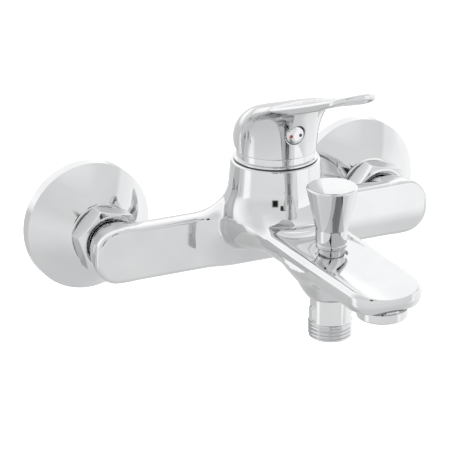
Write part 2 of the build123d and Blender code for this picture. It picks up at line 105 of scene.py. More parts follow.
# ---------------------------------------------------------------- dimensions of the finished forms
BOSS_BOTTOM = -9.0                 # lower face of the boss under the spout
BAR_FRONT = 53.2
BAR_MID_Z = -0.2
BAR_HALF_HEIGHT = 13.8
SPOUT_TOP = 15.0
DISH_RADIUS = 40.0                 # hollow along the top of the spout
DISH_AXIS_Z = SPOUT_TOP + 36.4
AERATOR_SEAT = 10.9                # radius of the casting's stub that holds the aerator
THREAD_CREST = 20.955 / 2          # G 1/2
THREAD_PITCH = 1.814
THREAD_CUT = 1.1                   # depth of the thread as it is drawn
TAIL_OFFSET = 7.5                  # of the wall thread from the inlet's axis
NECK_RADIUS = 13.2205              # of the wall union's G 3/4 end
NECK_LENGTH = 8.0                  # over which the wall union slopes from tail to neck
NUT_HALF_FLATS = 15.0
NUT_TURN = 13.35                   # degrees that the hexagon is turned from upright
LEVER_SLOPE = 0.318
LEVER_CROWN = 69.3                 # height of the lever's back line above the tower's axis
LEVER_RADIUS = 20.55
LEVER_BALL = 19.4                  # hollow that clears the cover's dome
LEVER_TIP_ANGLE = 20.0             # degrees that the lever tips up
BLADE_TIP = -LEVER_LOW[1]
SKIRT_Z = 46.6


# ---------------------------------------------------------------- implicit surfaces
def round_union(a, b, k):
    """Union of two fields with a fillet of radius k."""
    u, v = np.maximum(k - a, 0), np.maximum(k - b, 0)
    return np.maximum(k, np.minimum(a, b)) - np.hypot(u, v)


def round_common(a, b, k):
    """Common part of two fields with its edge rounded to radius k."""
    u, v = np.maximum(k + a, 0), np.maximum(k + b, 0)
    return np.minimum(-k, np.maximum(a, b)) + np.hypot(u, v)


def round_cut(a, b, k):
    """First field without the second, with its edge rounded to radius k."""
    return round_common(a, -b, k)


def rounded_rectangle(u, v, half_u, half_v, corner):
    """Distance from a rectangle with rounded corners."""
    a, b = np.abs(u) - half_u + corner, np.abs(v) - half_v + corner
    return np.hypot(np.maximum(a, 0), np.maximum(b, 0)) + np.minimum(np.maximum(a, b), 0) - corner


def surface_nets(field, low, high, cell):
    """Quads over the zero level of a field sampled on a grid, one vertex per crossed cell."""
    counts = [int(math.ceil((b - a) / cell)) + 1 for a, b in zip(low, high)]
    axes = [a + cell * np.arange(n) for a, n in zip(low, counts)]
    values = field(*np.meshgrid(*axes, indexing="ij"))
    inside = values < 0
    cells = tuple(n - 1 for n in counts)
    total, crossings = np.zeros(cells + (3,)), np.zeros(cells)
    corners = [(i, j, k) for i in (0, 1) for j in (0, 1) for k in (0, 1)]

    def corner_view(array, corner):
        return array[tuple(slice(c, c + n) for c, n in zip(corner, cells))]

    for start in corners:
        for axis in range(3):
            if start[axis]:
                continue
            end = tuple(c + (1 if i == axis else 0) for i, c in enumerate(start))
            a, b = corner_view(values, start), corner_view(values, end)
            cross = (a < 0) != (b < 0)
            share = np.where(cross, a / np.where(cross, a - b, 1.0), 0.0)
            for i in range(3):
                total[..., i] += np.where(cross, start[i] + (share if i == axis else 0.0), 0.0)
            crossings += cross
    used = crossings > 0
    number = np.full(cells, -1)
    number[used] = np.arange(int(used.sum()))
    where = np.argwhere(used)
    points = np.array(low) + cell * (where + total[used] / crossings[used][:, None])
    quads = []
    for axis in range(3):
        p, q = (axis + 1) % 3, (axis + 2) % 3
        lead = [slice(1, -1)] * 3
        lead[axis] = slice(0, -1)
        follow = list(lead)
        follow[axis] = slice(1, None)
        a, b = inside[tuple(lead)], inside[tuple(follow)]
        for found, flipped in ((a & ~b, False), (~a & b, True)):
            at = np.argwhere(found)
            at[:, p] += 1
            at[:, q] += 1
            ring = []
            for dp, dq in ((-1, -1), (0, -1), (0, 0), (-1, 0)):
                spot = at.copy()
                spot[:, p] += dp
                spot[:, q] += dq
                ring.append(number[tuple(spot.T)])
            quads.append(np.stack(ring[::-1] if flipped else ring, 1))
    return points, np.concatenate(quads)


def slope_of(field, points, step=0.03):
    """Gradient of the field at each point."""
    parts = []
    for axis in range(3):
        ahead, behind = points.copy(), points.copy()
        ahead[:, axis] += step
        behind[:, axis] -= step
        parts.append((field(*ahead.T) - field(*behind.T)) / (2 * step))
    return np.stack(parts, 1)


def mesh_piece(name, points, faces, normals):
    """Object in metres with smooth faces and given vertex normals."""
    mesh = bpy.data.meshes.new(name)
    mesh.from_pydata((np.asarray(points) * MM).tolist(), [], [list(map(int, f)) for f in faces])
    mesh.validate()
    mesh.polygons.foreach_set("use_smooth", np.ones(len(mesh.polygons), bool))
    mesh.normals_split_custom_set_from_vertices(np.asarray(normals, float).tolist())
    piece = bpy.data.objects.new(name, mesh)
    bpy.context.scene.collection.objects.link(piece)
    return piece


def implicit(name, field, low, high, cell):
    """Piece whose surface is where the field is zero; the field is negative inside."""
    points, quads = surface_nets(field, low, high, cell)
    for _ in range(5):
        slope = slope_of(field, points)
        length2 = np.maximum((slope ** 2).sum(1), 0.05)
        move = -(field(*points.T) / length2)[:, None] * slope
        points = points + np.clip(move, -cell / 2, cell / 2)
    normals = slope_of(field, points)
    normals /= np.maximum(np.linalg.norm(normals, axis=1), 1e-9)[:, None]
    return mesh_piece(name, points, quads, normals)


# ---------------------------------------------------------------- turned pieces
def rounded_outline(corners, steps=6):
    """Closed outline of (radius, height, fillet) corners as points with outward normals."""
    points, normals = [], []
    count = len(corners)
    area = sum(corners[i][0] * corners[(i + 1) % count][1] - corners[(i + 1) % count][0] * corners[i][1]
               for i in range(count))
    turn_sign = 1.0 if area > 0 else -1.0
    for i, (radius, height, fillet) in enumerate(corners):
        here = np.array([radius, height], float)
        before = np.array(corners[i - 1][:2], float)
        after = np.array(corners[(i + 1) % count][:2], float)
        d1 = (here - before) / np.linalg.norm(here - before)
        d2 = (after - here) / np.linalg.norm(after - here)
        n1 = turn_sign * np.array([d1[1], -d1[0]])
        n2 = turn_sign * np.array([d2[1], -d2[0]])
        angle = math.acos(max(-1.0, min(1.0, float(d1 @ d2))))
        if radius < 1e-6 or fillet <= 0 or angle < 0.01:
            points.append(here)
            if radius >= 1e-6:
                normals.append(n1 + n2)
            else:
                normals.append(n1 if abs(d2[0]) < 1e-6 else n2)
            continue
        reach = min(fillet * math.tan(angle / 2), 0.49 * np.linalg.norm(here - before),
                    0.49 * np.linalg.norm(after - here))
        bend = reach / math.tan(angle / 2)
        convex = turn_sign * (d1[0] * d2[1] - d1[1] * d2[0]) > 0
        side = -1.0 if convex else 1.0
        centre = here - d1 * reach + side * bend * n1
        for step in range(steps + 1):
            share = step / steps
            n = n1 * math.sin((1 - share) * angle) + n2 * math.sin(share * angle)
            n = n / np.linalg.norm(n)
            points.append(centre - side * bend * n)
            normals.append(n)
    normals = [n / max(np.linalg.norm(n), 1e-9) for n in normals]
    return np.array(points), np.array(normals)


def curve(start, middle, end, steps):
    """Points of a quadratic curve from start to end as outline corners."""
    points = []
    for step in range(steps + 1):
        t = step / steps
        weights = ((1 - t) ** 2, 2 * t * (1 - t), t * t)
        point = [sum(w * p[i] for w, p in zip(weights, (start, middle, end))) for i in (0, 1)]
        points.append((point[0], point[1], 0))
    return points


def turned(name, corners, centre, outwards=False, segments=160, steps=6):
    """Solid of revolution. centre is (x, depth, z); outwards turns it about a line along the depth."""
    outline, outline_normals = rounded_outline(corners, steps)
    x, depth, z = centre
    points, normals, rings = [], [], []
    for (radius, along), (n_radius, n_along) in zip(outline, outline_normals):
        count = 1 if radius < 1e-6 else segments
        ring = []
        for s in range(count):
            a = 2 * math.pi * s / segments
            c, d = math.cos(a), math.sin(a)
            ring.append(len(points))
            if outwards:
                points.append((x + radius * c, -depth - along, z + radius * d))
                normals.append((n_radius * c, -n_along, n_radius * d))
            else:
                points.append((x + radius * c, -depth + radius * d, z + along))
                normals.append((n_radius * c, n_radius * d, n_along))
        rings.append(ring)
    faces = []
    for i, ring in enumerate(rings):
        other = rings[(i + 1) % len(rings)]
        if len(ring) == 1 and len(other) == 1:
            continue
        for s in range(segments):
            t = (s + 1) % segments
            if len(ring) == 1:
                faces.append((ring[0], other[t], other[s]))
            elif len(other) == 1:
                faces.append((ring[s], ring[t], other[0]))
            else:
                faces.append((ring[s], ring[t], other[t], other[s]))
    first = faces[len(faces) // 2]
    a, b, c = (np.array(points[k]) for k in first[:3])
    if np.cross(b - a, c - a) @ np.array(normals[first[0]]) < 0:
        faces = [tuple(reversed(f)) for f in faces]
    return mesh_piece(name, points, faces, normals)


# ---------------------------------------------------------------- the casting
def tower_radius(z):
    """The tower widens slightly towards its foot."""
    return 21.75 + np.maximum(TOWER_TOP - z, 0) * 0.085


def bar_field(x, depth, z):
    """Horizontal bar: flat front with a tight edge, and sides that close in towards the back."""
    height = z - BAR_MID_Z
    behind = np.clip(BAR_FRONT - depth, 0, 20) / 25.0
    inset = 14.0 * (1 - np.sqrt(1 - behind ** 2))
    outline = rounded_rectangle(x, height, BAR_HALF, BAR_HALF_HEIGHT, 12.0) + inset
    bar = round_common(outline, depth - BAR_FRONT + 0.0009 * height ** 2, 2.3)
    bar = round_common(bar, BAR_BACK - depth, 1.5)
    boss = np.maximum(np.hypot(np.abs(x) - INLET_X, z) - 12.7, np.abs(depth - 44.0) - 44.0 + BAR_BACK)
    return round_union(bar, boss, 2.0)


def tower_field(x, depth, z):
    """Round tower, whose foot ends inside the bar and the spout."""
    wall = np.hypot(x, depth - TOWER_DEPTH) - tower_radius(z)
    wall = round_common(wall, z - TOWER_TOP, 0.8)
    return round_common(wall, (0.5 * (depth - 50.0) - 4.5 - z) / 1.12, 8.0)


def spout_field(x, depth, z):
    """Flat spout with a rounded tip and round sides, before its dish is cut."""
    half_width = 21.4 - (depth - TOWER_DEPTH) * 0.0235
    tip = depth - SPOUT_TIP + 0.006 * x ** 2
    plan = round_common(np.abs(x) - half_width, tip, 10.5)
    plan = np.maximum(plan, TOWER_DEPTH - 8 - depth)
    below = round_common(plan, 3.3 - z, 5.8)
    return round_common(below, z - SPOUT_TOP, 4.2)


def funnel_field(x, depth, z):
    """Boss under the spout that narrows to the hose outlet."""
    share = np.clip((z - BOSS_BOTTOM) / 12.4, 0, 1.3)
    radius = 10.95 + 7.5 * share ** 0.78
    return np.maximum((np.hypot(x, depth - OUTLET_DEPTH) - radius) * 0.87, z - 7.0)


def body_field(x, y, z):
    """Casting: bar, tower, spout and outlet boss in one, with its bores."""
    depth = -y
    arms = round_union(bar_field(x, depth, z), spout_field(x, depth, z), 9.0)
    body = round_union(arms, tower_field(x, depth, z), 15.5)
    body = round_common(body, BAR_BACK - depth, 2.0)
    body = round_union(body, funnel_field(x, depth, z), 5.0)
    body = np.maximum(body, np.where(depth > 85.0, BOSS_BOTTOM - z, -100.0))
    tower_axis = np.hypot(x, depth - TOWER_DEPTH)
    hollow = np.hypot(x, z - DISH_AXIS_Z) - DISH_RADIUS
    dish = round_common(hollow, 92.0 - 0.004 * x ** 2 - depth, 4.0)
    body = round_cut(body, dish, 0.5)
    aerator_axis = np.hypot(x, depth - AERATOR_DEPTH)
    stub = np.maximum(aerator_axis - AERATOR_SEAT, np.maximum(0.6 - z, z - 8.0))
    body = np.minimum(body, stub)
    outlet_axis = np.hypot(x, depth - OUTLET_DEPTH)
    inlet_axis = np.hypot(np.abs(x) - INLET_X, z)
    bores = [
        np.maximum(tower_axis - 19.4, 33.6 - z),
        np.maximum(tower_axis - 17.45, 11.0 - z),
        np.maximum(outlet_axis - 9.0, z + 3.0),
        outlet_axis - 7.6,
        np.maximum(aerator_axis - 9.6, z - 8.0),
        np.maximum(inlet_axis - 10.3, depth - 47.2),
    ]
    for bore in bores:
        body = round_cut(body, bore, 0.25)
    return body


# ---------------------------------------------------------------- the lever
def lever_top(ahead):
    """Height of the lever's back line along its length."""
    rise = LEVER_CROWN + LEVER_SLOPE * ahead
    return rise + 0.0008 * np.maximum(ahead - 30, 0) ** 2 - 0.0006 * np.maximum(-ahead, 0) ** 2


def lever_field(x, y, z):
    """Lever: a cap over the dome, whose roof runs on into a thin blade."""
    depth = -y
    ahead = depth - TOWER_DEPTH
    radius = np.hypot(x, ahead)
    roof = (z - lever_top(ahead) + 0.004 * x ** 2) * math.cos(math.atan(LEVER_SLOPE))
    # outline in plan: round behind, then narrowing to the blade's tip
    reach = BLADE_TIP - TOWER_DEPTH
    share = np.clip((ahead - 9.0) / (reach - 9.0), 0, 1)
    half_width = LEVER_RADIUS - 9.0 * share ** 0.8
    blade_plan = round_common(np.abs(x) - half_width, depth - BLADE_TIP, 9.5)
    plan = np.where(ahead < 0, radius - LEVER_RADIUS, blade_plan)
    shoulder = 1.5 + 10.0 * np.clip(1 - (ahead - 2.0) / 26.0, 0, 1) ** 1.5
    form = round_common(plan, roof, shoulder)
    # the shell ends in a crease, which runs up the side and on along the blade
    crease = ahead - 2.6 - 0.05 * np.maximum(z - 55.0, 0) ** 2
    thicker = 2.5 * np.clip((ahead - 26.0) / 20.0, 0, 1)
    thinner = 1.4 * np.clip((ahead - 66.0) / 18.0, 0, 1)
    at_cap = 2.2 * np.clip(1 - ahead / 16.0, 0, 1)
    blade_depth = 1.5 + thicker - thinner + at_cap
    keep = np.minimum(crease, -(roof + blade_depth))
    shell = round_common(form, keep, 0.9)
    # recessed front wall, flared towards the blade
    upwards = 0.0066 * np.maximum(z - 45.0, 0) ** 2 * np.clip(ahead / 10.0, 0, 1)
    under_roof = 4.0 * np.exp(np.minimum(roof + 1.5, 0) / 3.5)
    wall = np.maximum(radius - 20.0 - (upwards + under_roof), form + 0.5)
    fillet = 0.5 + 3.5 * np.clip((ahead - 4.0) / 9.0, 0, 1)
    shape = round_union(shell, wall, fillet)
    # behind, the lower edge slopes up so that it clears the tower when the lever tips
    rear_slope = math.tan(math.radians(LEVER_TIP_ANGLE))
    skirt = np.maximum(SKIRT_Z - z, SKIRT_Z + 0.8 - ahead * rear_slope - z)
    shape = round_common(shape, skirt, 0.5)
    pivot = np.sqrt(x ** 2 + ahead ** 2 + (z - PIVOT_Z) ** 2)
    shape = round_cut(shape, pivot - LEVER_BALL, 0.4)
    hub = np.maximum(radius - 7.0, np.maximum(51.0 - z, z - 66.0))
    shape = np.minimum(shape, hub)
    stem = np.maximum(np.maximum(np.abs(x), np.abs(ahead)) - 3.85, z - 64.2)
    shape = round_cut(shape, stem, 0.15)
    seat = np.maximum(np.hypot(x, z - PLUG_Z) - 4.95, 16.5 - ahead)
    return round_cut(shape, seat, 0.35)


# ---------------------------------------------------------------- nuts, outlet, tails
def nut_field(x, y, z):
    """Hexagon nut with turned chamfers on both faces, centred on the inlet axis."""
    depth = -y
    middle = -(NUT_LOW[1] + NUT_HIGH[1]) / 2
    half = (NUT_HIGH[1] - NUT_LOW[1]) / 2
    away = np.hypot(x, z)
    angles = [math.radians(NUT_TURN) + math.pi / 3 * i for i in range(6)]
    sides = [x * math.sin(a) + z * math.cos(a) - NUT_HALF_FLATS for a in angles]
    hexagon = sides[0]
    for side in sides[1:]:
        hexagon = round_common(hexagon, side, 0.5)
    across = np.abs(depth - middle)
    chamfer = (away - 17.35 + (across - half) * 1.6 + 3.1) / 1.9
    nut = round_common(hexagon, across - half, 0.3)
    nut = round_common(nut, chamfer, 0.3)
    back_bore = np.maximum(away - 13.27, depth - 31.6)
    front_bore = away - 10.3
    nut = round_cut(nut, back_bore, 0.3)
    return round_cut(nut, front_bore, 0.3)


def thread_radius(angle, along, crest, depth_of_thread):
    """Whitworth-like rounded thread as a radius that depends on the turn and the place."""
    phase = 2 * math.pi * along / THREAD_PITCH + angle
    return crest - depth_of_thread * 0.5 * (1 + np.cos(phase))


def outlet_field(x, y, z):
    """Hose outlet: plain collar with two cast lugs above a G 1/2 thread."""
    ahead = -y - OUTLET_DEPTH
    radius = np.hypot(x, ahead)
    crest = OUTLET_HIGH[0]
    fade = np.clip((-21.8 - z) / 1.2, 0, 1)
    thread = radius - thread_radius(np.arctan2(ahead, x), z, crest, THREAD_CUT * fade + 0.02)
    low = OUTLET_LOW[2]
    shaft = round_common(thread, np.maximum(low - z, z + 21.4), 0.5)
    shaft = round_common(shaft, (radius - crest + (low - z) + 1.3) * 0.7, 0.3)
    collar = round_common(radius - 10.0, np.maximum(-21.7 - z, z - BOSS_BOTTOM), 0.5)
    shape = round_union(shaft, collar, 0.3)
    lug = rounded_rectangle(ahead, z + 16.8, 2.3, 3.4, 1.4)
    lug = round_common(lug, np.maximum(radius - 10.95, 8.0 - radius), 0.5)
    shape = round_union(shape, lug, 0.6)
    spigot = np.maximum(radius - 8.9, np.maximum(BOSS_BOTTOM - 1 - z, z + 3.2))
    shape = np.minimum(shape, spigot)
    for bore in (np.maximum(radius - 7.2, -14.0 - z), radius - 5.2, np.maximum(radius - 6.6, z + 18.0)):
        shape = round_cut(shape, bore, 0.25)
    return shape


def union_field(x, y, z):
    """Eccentric wall union of the right inlet: threaded tail, sloping shoulder and neck."""
    slope_share = np.clip(-y / NECK_LENGTH, 0, 1)
    radius = np.hypot(x, z - TAIL_OFFSET * (1 - slope_share))
    body_radius = THREAD_CREST + (NECK_RADIUS - THREAD_CREST) * slope_share
    tail = np.hypot(x, z - TAIL_OFFSET)
    threaded = np.clip((y - 1.6) / 1.2, 0, 1)
    phase = 2 * math.pi * y / THREAD_PITCH + np.arctan2(z - TAIL_OFFSET, x)
    cut = THREAD_CUT * threaded * 0.5 * (1 + np.cos(phase))
    ends = np.maximum(y - UNION_HIGH[1], UNION_LOW[1] - y)
    shape = round_common(radius - body_radius + cut, ends, 0.5)
    shape = round_common(shape, (tail - THREAD_CREST + (y - UNION_HIGH[1]) + 1.3) * 0.7, 0.3)
    bores = (np.maximum(tail - 6.5, -4.0 - y), np.maximum(np.hypot(x, z) - 8.6, y + 3.0))
    for bore in bores:
        shape = round_cut(shape, bore, 0.3)
    return shape


# ---------------------------------------------------------------- materials
def new_material(name):
    """Material, its node tree and its shader."""
    material = bpy.data.materials.new(name)
    material.use_nodes = True
    tree = material.node_tree
    return material, tree, tree.nodes["Principled BSDF"]


def noise(tree, scale, detail, stretch=(1, 1, 1)):
    """Noise that keeps its place on the object."""
    place = tree.nodes.new("ShaderNodeTexCoord")
    mapping = tree.nodes.new("ShaderNodeMapping")
    mapping.inputs["Scale"].default_value = stretch
    texture = tree.nodes.new("ShaderNodeTexNoise")
    texture.inputs["Scale"].default_value = scale
    texture.inputs["Detail"].default_value = detail
    tree.links.new(place.outputs["Object"], mapping.inputs["Vector"])
    tree.links.new(mapping.outputs["Vector"], texture.inputs["Vector"])
    return texture.outputs["Fac"]


def spread(tree, value, low, high, start=0.3, end=0.7):
    """Maps a noise value to a range."""
    node = tree.nodes.new("ShaderNodeMapRange")
    node.inputs["From Min"].default_value = start
    node.inputs["From Max"].default_value = end
    node.inputs["To Min"].default_value = low
    node.inputs["To Max"].default_value = high
    tree.links.new(value, node.inputs["Value"])
    return node.outputs["Result"]


def tint(tree, value, dark, light):
    """Maps a value to a colour between two."""
    node = tree.nodes.new("ShaderNodeValToRGB")
    node.color_ramp.elements[0].position = 0.3
    node.color_ramp.elements[1].position = 0.7
    node.color_ramp.elements[0].color = (*dark, 1)
    node.color_ramp.elements[1].color = (*light, 1)
    tree.links.new(value, node.inputs["Fac"])
    return node.outputs["Color"]


def bump(tree, shader, value, distance, strength):
    """Fine relief from a noise value."""
    node = tree.nodes.new("ShaderNodeBump")
    node.inputs["Distance"].default_value = distance
    node.inputs["Strength"].default_value = strength
    tree.links.new(value, node.inputs["Height"])
    tree.links.new(node.outputs["Normal"], shader.inputs["Normal"])


def surface(name, dark, light, metallic, rough, grain, relief, stretch=(1, 1, 1)):
    """Material whose colour, roughness and relief all vary with noise of its own grain."""
    material, tree, shader = new_material(name)
    shader.inputs["Metallic"].default_value = metallic
    broad = noise(tree, grain / 6, 3, stretch)
    fine = noise(tree, grain, 4, stretch)
    tree.links.new(tint(tree, broad, dark, light), shader.inputs["Base Color"])
    tree.links.new(spread(tree, fine, *rough), shader.inputs["Roughness"])
    if relief:
        bump(tree, shader, fine, relief, 0.5)
    return material


# colour range, metallic, roughness range, grain, relief in metres, stretch of the grain
FINISHES = {
    "chrome": ((0.62, 0.625, 0.632), (0.67, 0.675, 0.68), 1.0, (0.035, 0.06), 240, 0),
    "raw_brass": ((0.62, 0.44, 0.19), (0.80, 0.60, 0.30), 1.0, (0.22, 0.42), 900, 0.00003),
    "steel": ((0.55, 0.56, 0.57), (0.70, 0.71, 0.72), 1.0, (0.18, 0.36), 1200, 0.00002, (1, 1, 0.1)),
    "rubber": ((0.012, 0.012, 0.013), (0.03, 0.03, 0.032), 0.0, (0.5, 0.75), 1500, 0.00004),
    "cartridge_plastic": ((0.70, 0.71, 0.67), (0.80, 0.81, 0.78), 0.0, (0.35, 0.5), 1400, 0.00002),
    "ceramic": ((0.86, 0.85, 0.80), (0.92, 0.91, 0.87), 0.0, (0.12, 0.2), 1600, 0.00001),
    "aerator_plastic": ((0.36, 0.38, 0.40), (0.46, 0.48, 0.50), 0.0, (0.35, 0.5), 1400, 0.00002),
    "hot_red": ((0.26, 0.012, 0.015), (0.34, 0.02, 0.024), 0.0, (0.12, 0.2), 2500, 0.00001),
    "cold_blue": ((0.006, 0.009, 0.035), (0.01, 0.016, 0.055), 0.0, (0.12, 0.2), 2500, 0.00001),
}
MATERIALS = {name: surface(name, *finish) for name, finish in FINISHES.items()}


def finish_piece(piece, body, slot, *nodes):
    """Gives a piece its material, the body it moves with and the CAD nodes it replaces."""
    piece.data.materials.append(MATERIALS[slot])
    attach(piece, body)
    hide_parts(*nodes)
    return piece


def dress_cad_nodes():
    """Gives every CAD node the material of its record slot."""
    slots = {row["node"]: row["material_slot"] for row in frame["record"]["subparts"]}
    for name, node in frame["nodes"].items():
        node.data.materials.clear()
        node.data.materials.append(MATERIALS[slots[name]])


# ---------------------------------------------------------------- pieces
def shifted(field, x):
    """The same field, moved along X."""
    return lambda px, py, pz: field(px - x, py, pz)


def wall_side(side, x):
    """Shield, nut and eccentric union of one inlet."""
    rim = SHIELD_HIGH[0] - INLET_X
    face = curve((rim - 0.5, 7.0), (25.0, 14.6), (15.9, 21.3), 24)
    inside = curve((14.6, 18.6), (23.6, 13.0), (rim - 1.9, 5.6), 12)
    shield = turned(f"shield_{side}", [(rim, 0, 0.3), (rim, 6.5, 0.3)] + face + [
        (15.3, 21.3, 0.2), (13.27, 21.3, 0.3), (13.27, 12.5, 0.2), (14.6, 12.5, 0.2),
    ] + inside + [(rim - 1.4, 5.4, 0.2), (rim - 1.4, 0, 0.3)], (x, 0, 0), outwards=True, segments=200)
    finish_piece(shield, "fixture", "chrome", f"escutcheon_{side}")
    edge = 18.0
    nut = implicit(f"nut_{side}", shifted(nut_field, x), (x - edge, NUT_LOW[1] - 1, -edge),
                   (x + edge, NUT_HIGH[1] + 1, edge), 0.4)
    finish_piece(nut, "fixture", "chrome", f"union_nut_{side}")
    union = implicit(f"wall_union_{side}", shifted(union_field, x), (x - 15, UNION_LOW[1] - 1, -15),
                     (x + 15, UNION_HIGH[1] + 1, 20), 0.4)
    finish_piece(union, "fixture", "raw_brass", f"eccentric_union_{side}")
    union.visible_glossy = False


def casting():
    """The one brass casting, chromed."""
    low = (-BAR_HALF - 1, BODY_LOW[1] - 1, BODY_LOW[2] - 10)
    high = (BAR_HALF + 1, BODY_HIGH[1] + 1, BODY_HIGH[2] + 1)
    body = implicit("casting", body_field, low, high, 0.7)
    finish_piece(body, "fixture", "chrome", "valve_body")


def cover():
    """Cover ring with a bead below and a ball-shaped dome above."""
    bead = COVER_HIGH[0]
    pivot = PIVOT_Z - COVER_LOW[2]
    dome_radius, low_angle, sweep, steps = 19.1, 3.0, 36.6, 14
    corners = [(17.1, 0.0, 0.2), (bead, 0.0, 0.35), (bead, 1.1, 0.4), (19.15, 1.25, 0.2)]
    for step in range(steps + 1):
        a = math.radians(low_angle + sweep * step / steps)
        corners.append((dome_radius * math.cos(a), pivot + dome_radius * math.sin(a), 8.0))
    corners += [(14.75, pivot + 11.0, 0.3), (17.6, pivot + 3.5, 2.0)]
    piece = turned("trim_dome", corners, (0, TOWER_DEPTH, COVER_LOW[2]))
    finish_piece(piece, "fixture", "chrome", "dome_cover")


def lever():
    """The lever with its blade."""
    low = (LEVER_LOW[0] - 1, LEVER_LOW[1] - 1, LEVER_LOW[2] - 1)
    high = (LEVER_HIGH[0] + 1, LEVER_HIGH[1] + 1, LEVER_HIGH[2] + 1)
    piece = implicit("lever_handle", lever_field, low, high, 0.5)
    finish_piece(piece, "lever", "chrome", "handle")


def index_button():
    """Button on the lever's front, with its red and blue marks."""
    front = -PLUG_LOW[1]
    back = -PLUG_HIGH[1]
    button = turned("index_button", [
        (0, 0, 0), (4.75, 0, 0.3), (4.75, front - back - 1.0, 1.0), (3.4, front - back - 0.25, 3.0),
        (0, front - back, 0),
    ], (0, back, PLUG_Z), outwards=True, segments=96)
    finish_piece(button, "lever", "chrome", "index_plug")
    for node, slot in (("hot_mark", "hot_red"), ("cold_mark", "cold_blue")):
        low, high = node_box(node)
        middle = (low + high) / 2
        mark = turned(node + "_enamel", [
            (0, 0, 0), (1.02, 0, 0.1), (1.02, 0.75, 0.3), (0.6, 0.92, 0.5), (0, 0.97, 0),
        ], (middle[0], front - 1.0, middle[2]), outwards=True, segments=48)
        finish_piece(mark, "lever", slot, node)


def knob():
    """Flared diverter knob with a groove above its foot."""
    top = KNOB_HIGH[2] - KNOB_LOW[2]
    rim = KNOB_HIGH[0]
    groove = 17.6 - KNOB_LOW[2]
    piece = turned("pull_knob", [
        (0, 0, 0), (2.52, 0, 0), (6.9, 0, 0.4), (7.35, 0.4, 0.4),
        (7.45, groove - 0.35, 0.25), (7.05, groove, 0.1), (7.5, groove + 0.35, 0.25),
        (7.6, groove + 7.2, 3.0), (rim + 0.1, top - 0.7, 0.7), (rim - 0.7, top, 0.6),
        (6.0, top, 4.0), (0, top, 0),
    ], (0, OUTLET_DEPTH, KNOB_LOW[2]), segments=160)
    finish_piece(piece, "diverter", "chrome", "diverter_knob")


def outlet():
    """Threaded hose outlet under the spout."""
    low = (OUTLET_LOW[0] - 1, OUTLET_LOW[1] - 1, OUTLET_LOW[2] - 1)
    high = (OUTLET_HIGH[0] + 1, OUTLET_HIGH[1] + 1, OUTLET_HIGH[2] + 1)
    piece = implicit("threaded_outlet", outlet_field, low, high, 0.3)
    finish_piece(piece, "fixture", "chrome", "hose_outlet")


def aerator_cap():
    """Chromed ring round the aerator."""
    height = AERATOR_HIGH[2] - AERATOR_LOW[2]
    rim = AERATOR_HIGH[0]
    piece = turned("aerator_cap", [
        (8.5, 0, 0.3), (rim - 0.8, 0, 0.6), (rim, 0.8, 0.5), (rim, height, 0.15), (10.95, height, 0.1),
        (10.95, 1.2, 0.1), (8.5, 1.2, 0.2),
    ], (0, AERATOR_DEPTH, AERATOR_LOW[2]), segments=160)
    finish_piece(piece, "fixture", "chrome", "aerator_housing")


# ---------------------------------------------------------------- studio
def studio():
    """Pale floor, bright surround, reflection cards and two soft lamps."""
    scene = bpy.context.scene
    scene.view_settings.view_transform = "Standard"
    floor_drop = 0.18              # metres from the object down to the floor
    mesh = bpy.data.meshes.new("floor")
    half, low = 6.0, CAD_BOX[0].z - floor_drop
    corners = [(-half, -half, low), (half, -half, low), (half, half, low), (-half, half, low)]
    mesh.from_pydata(corners, [], [(0, 1, 2, 3)])
    floor = bpy.data.objects.new("floor", mesh)
    scene.collection.objects.link(floor)
    material, tree, shader = new_material("floor")
    shader.inputs["Roughness"].default_value = 0.9
    tree.links.new(tint(tree, noise(tree, 3, 2), (0.97, 0.97, 0.97), (0.99, 0.99, 0.99)),
                   shader.inputs["Base Color"])
    mesh.materials.append(material)
    floor.visible_glossy = False
    world()
    for name, span, levels in CARDS:
        card(name, *span, *levels)
    soft_light("key", (-0.5, -0.9, 1.3), 0.8, 15.0)
    soft_light("fill", (0.9, -0.6, 0.9), 0.6, 6.0)


def soft_light(name, place, size, power):
    """Square lamp aimed at the object, which chrome doesn't mirror."""
    light = bpy.data.lights.new(name, "AREA")
    light.shape = "SQUARE"
    light.size = size
    light.energy = power
    lamp = bpy.data.objects.new(name, light)
    lamp.location = place
    lamp.visible_glossy = False
    lamp.rotation_euler = (Vector((0, -0.08, 0)) - Vector(place)).to_track_quat("-Z", "Y").to_euler()
    bpy.context.scene.collection.objects.link(lamp)


# level of the surround by height: 0 straight down, 0.5 the horizon, 1 straight up
SKY_LEVELS = ((0.10, 0.58), (0.32, 0.68), (0.45, 0.72), (0.55, 0.70), (0.68, 0.64), (0.9, 0.68))
# patches: bearing from straight ahead (towards +X), half width, softness, lowest and highest elevation,
# all in degrees, and the level there as a share of what the surround has without it
PATCHES = [
    (-27.0, 9.0, 4.0, 7, 35, 0.02),
    (95.0, 42.0, 20.0, -60, 30, 1.25),
    (-100.0, 13.0, 7.0, -42, 6, 1.35),
    (-150.0, 45.0, 15.0, -75, 2, 0.78),
    (165.0, 25.0, 15.0, -75, 2, 0.78),
]
# cards: left and right x, lowest and highest z, depth, then the level at the foot and at the top
CARDS = [
    ("grey_card", (-42, 62, 200, 335, 412), (0.32, 0.38)),
    ("dark_card", (-92, -42, 200, 335, 410), (0.02, 0.04)),
    ("fading_card", (118, 420, -131, -99, 300), (0.95, 1.32)),
    ("white_card", (118, 420, -99, 200, 300), (1.32, 1.36)),
]


